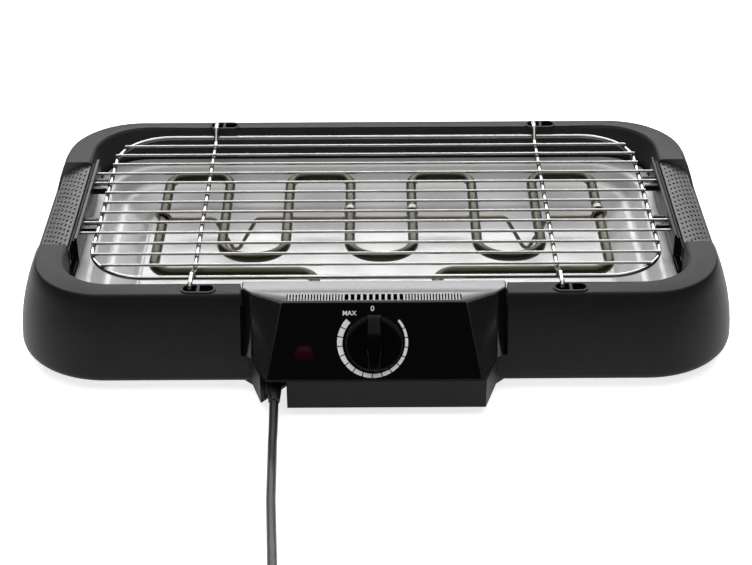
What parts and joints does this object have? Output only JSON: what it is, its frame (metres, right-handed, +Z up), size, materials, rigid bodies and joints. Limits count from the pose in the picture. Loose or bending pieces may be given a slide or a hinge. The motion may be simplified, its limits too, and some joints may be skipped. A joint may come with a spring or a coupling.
{
  "type": "electric table grill",
  "caption": "Open electric table grill: plastic frame with drip tray, serpentine heating element, control box with knob and lamp, lift-off wire rack with handles, and mains cord.",
  "frame": {"origin": "middle of the bounding box of the grill without its mains cord, on the table's surface", "axes": "+X to the right along the grill as seen from the knob side, +Y away from the knob side, +Z up"},
  "size_m": [0.5298, 0.6304, 0.0787],
  "materials": {
    "frame_plastic": "satin, fine grain",
    "handle_plastic": "matte, dimpled",
    "rubber": "matte",
    "tray_steel": "bright, lightly brushed",
    "heater_steel": "olive grey, heat-tinted",
    "support_steel": "heat-tinted wire",
    "plain_steel": "bright",
    "ceramic": "unglazed",
    "gloss_black": "polished",
    "switch_body": "matte",
    "knob_plastic": "satin",
    "lamp_red": "clear dark red, unlit",
    "cord_black": "matte",
    "nickel": "nickel plated",
    "chrome_wire": "bright chromed wire"
  },
  "bodies": {
    "housing": {"frame": "frame_plastic", "foot_front_left": "rubber", "foot_front_right": "rubber", "foot_rear_left": "rubber", "foot_rear_right": "rubber"},
    "drip_tray": {"tray": "tray_steel"},
    "heating_unit": {"heater_tube": "heater_steel", "heater_support": "support_steel", "clip_1": "plain_steel", "clip_2": "plain_steel", "clip_3": "plain_steel", "bush_left": "ceramic", "bush_right": "ceramic", "terminal_left": "plain_steel", "terminal_right": "plain_steel", "heat_shield": "plain_steel", "box_upper": "frame_plastic", "box_lower": "frame_plastic", "fascia": "gloss_black", "thermostat": "switch_body", "spindle_nut": "plain_steel", "lamp_lens": "lamp_red", "lamp_body": "plain_steel", "terminal_block": "ceramic", "screw_1": "plain_steel", "screw_2": "plain_steel", "screw_3": "plain_steel", "screw_4": "plain_steel", "strain_relief": "cord_black", "cord_tube": "cord_black", "cord_coil": "cord_black", "plug_body": "cord_black", "plug_pin_1": "nickel", "plug_pin_2": "nickel"},
    "knob": {"knob": "knob_plastic"},
    "rack": {"rack_outline": "chrome_wire", "cross_wire_left": "chrome_wire", "cross_wire_right": "chrome_wire", "bar_01": "chrome_wire", "bar_02": "chrome_wire", "bar_03": "chrome_wire", "bar_04": "chrome_wire", "bar_05": "chrome_wire", "bar_06": "chrome_wire", "bar_07": "chrome_wire", "bar_08": "chrome_wire", "bar_09": "chrome_wire", "bar_10": "chrome_wire", "bar_11": "chrome_wire", "bar_12": "chrome_wire", "bar_13": "chrome_wire", "handle_left": "handle_plastic", "handle_right": "handle_plastic", "arms_left": "handle_plastic", "arms_right": "handle_plastic"}
  },
  "joints": [
    {"name": "tray_lift", "type": "slide", "parent": "housing", "child": "drip_tray", "axis": [0, 0, 1], "range_m": [0, 0.09]},
    {"name": "unit_lift", "type": "slide", "parent": "drip_tray", "child": "heating_unit", "axis": [0, 0, 1], "range_m": [0, 0.12]},
    {"name": "rack_lift", "type": "slide", "parent": "heating_unit", "child": "rack", "axis": [0, 0, 1], "range_m": [0, 0.1]},
    {"name": "knob_turn", "type": "hinge", "parent": "heating_unit", "child": "knob", "pos_m": [-0.0015, -0.14654, 0.05072], "axis": [0, 0.766, -0.6428], "range_deg": [0, 313]}
  ]
}
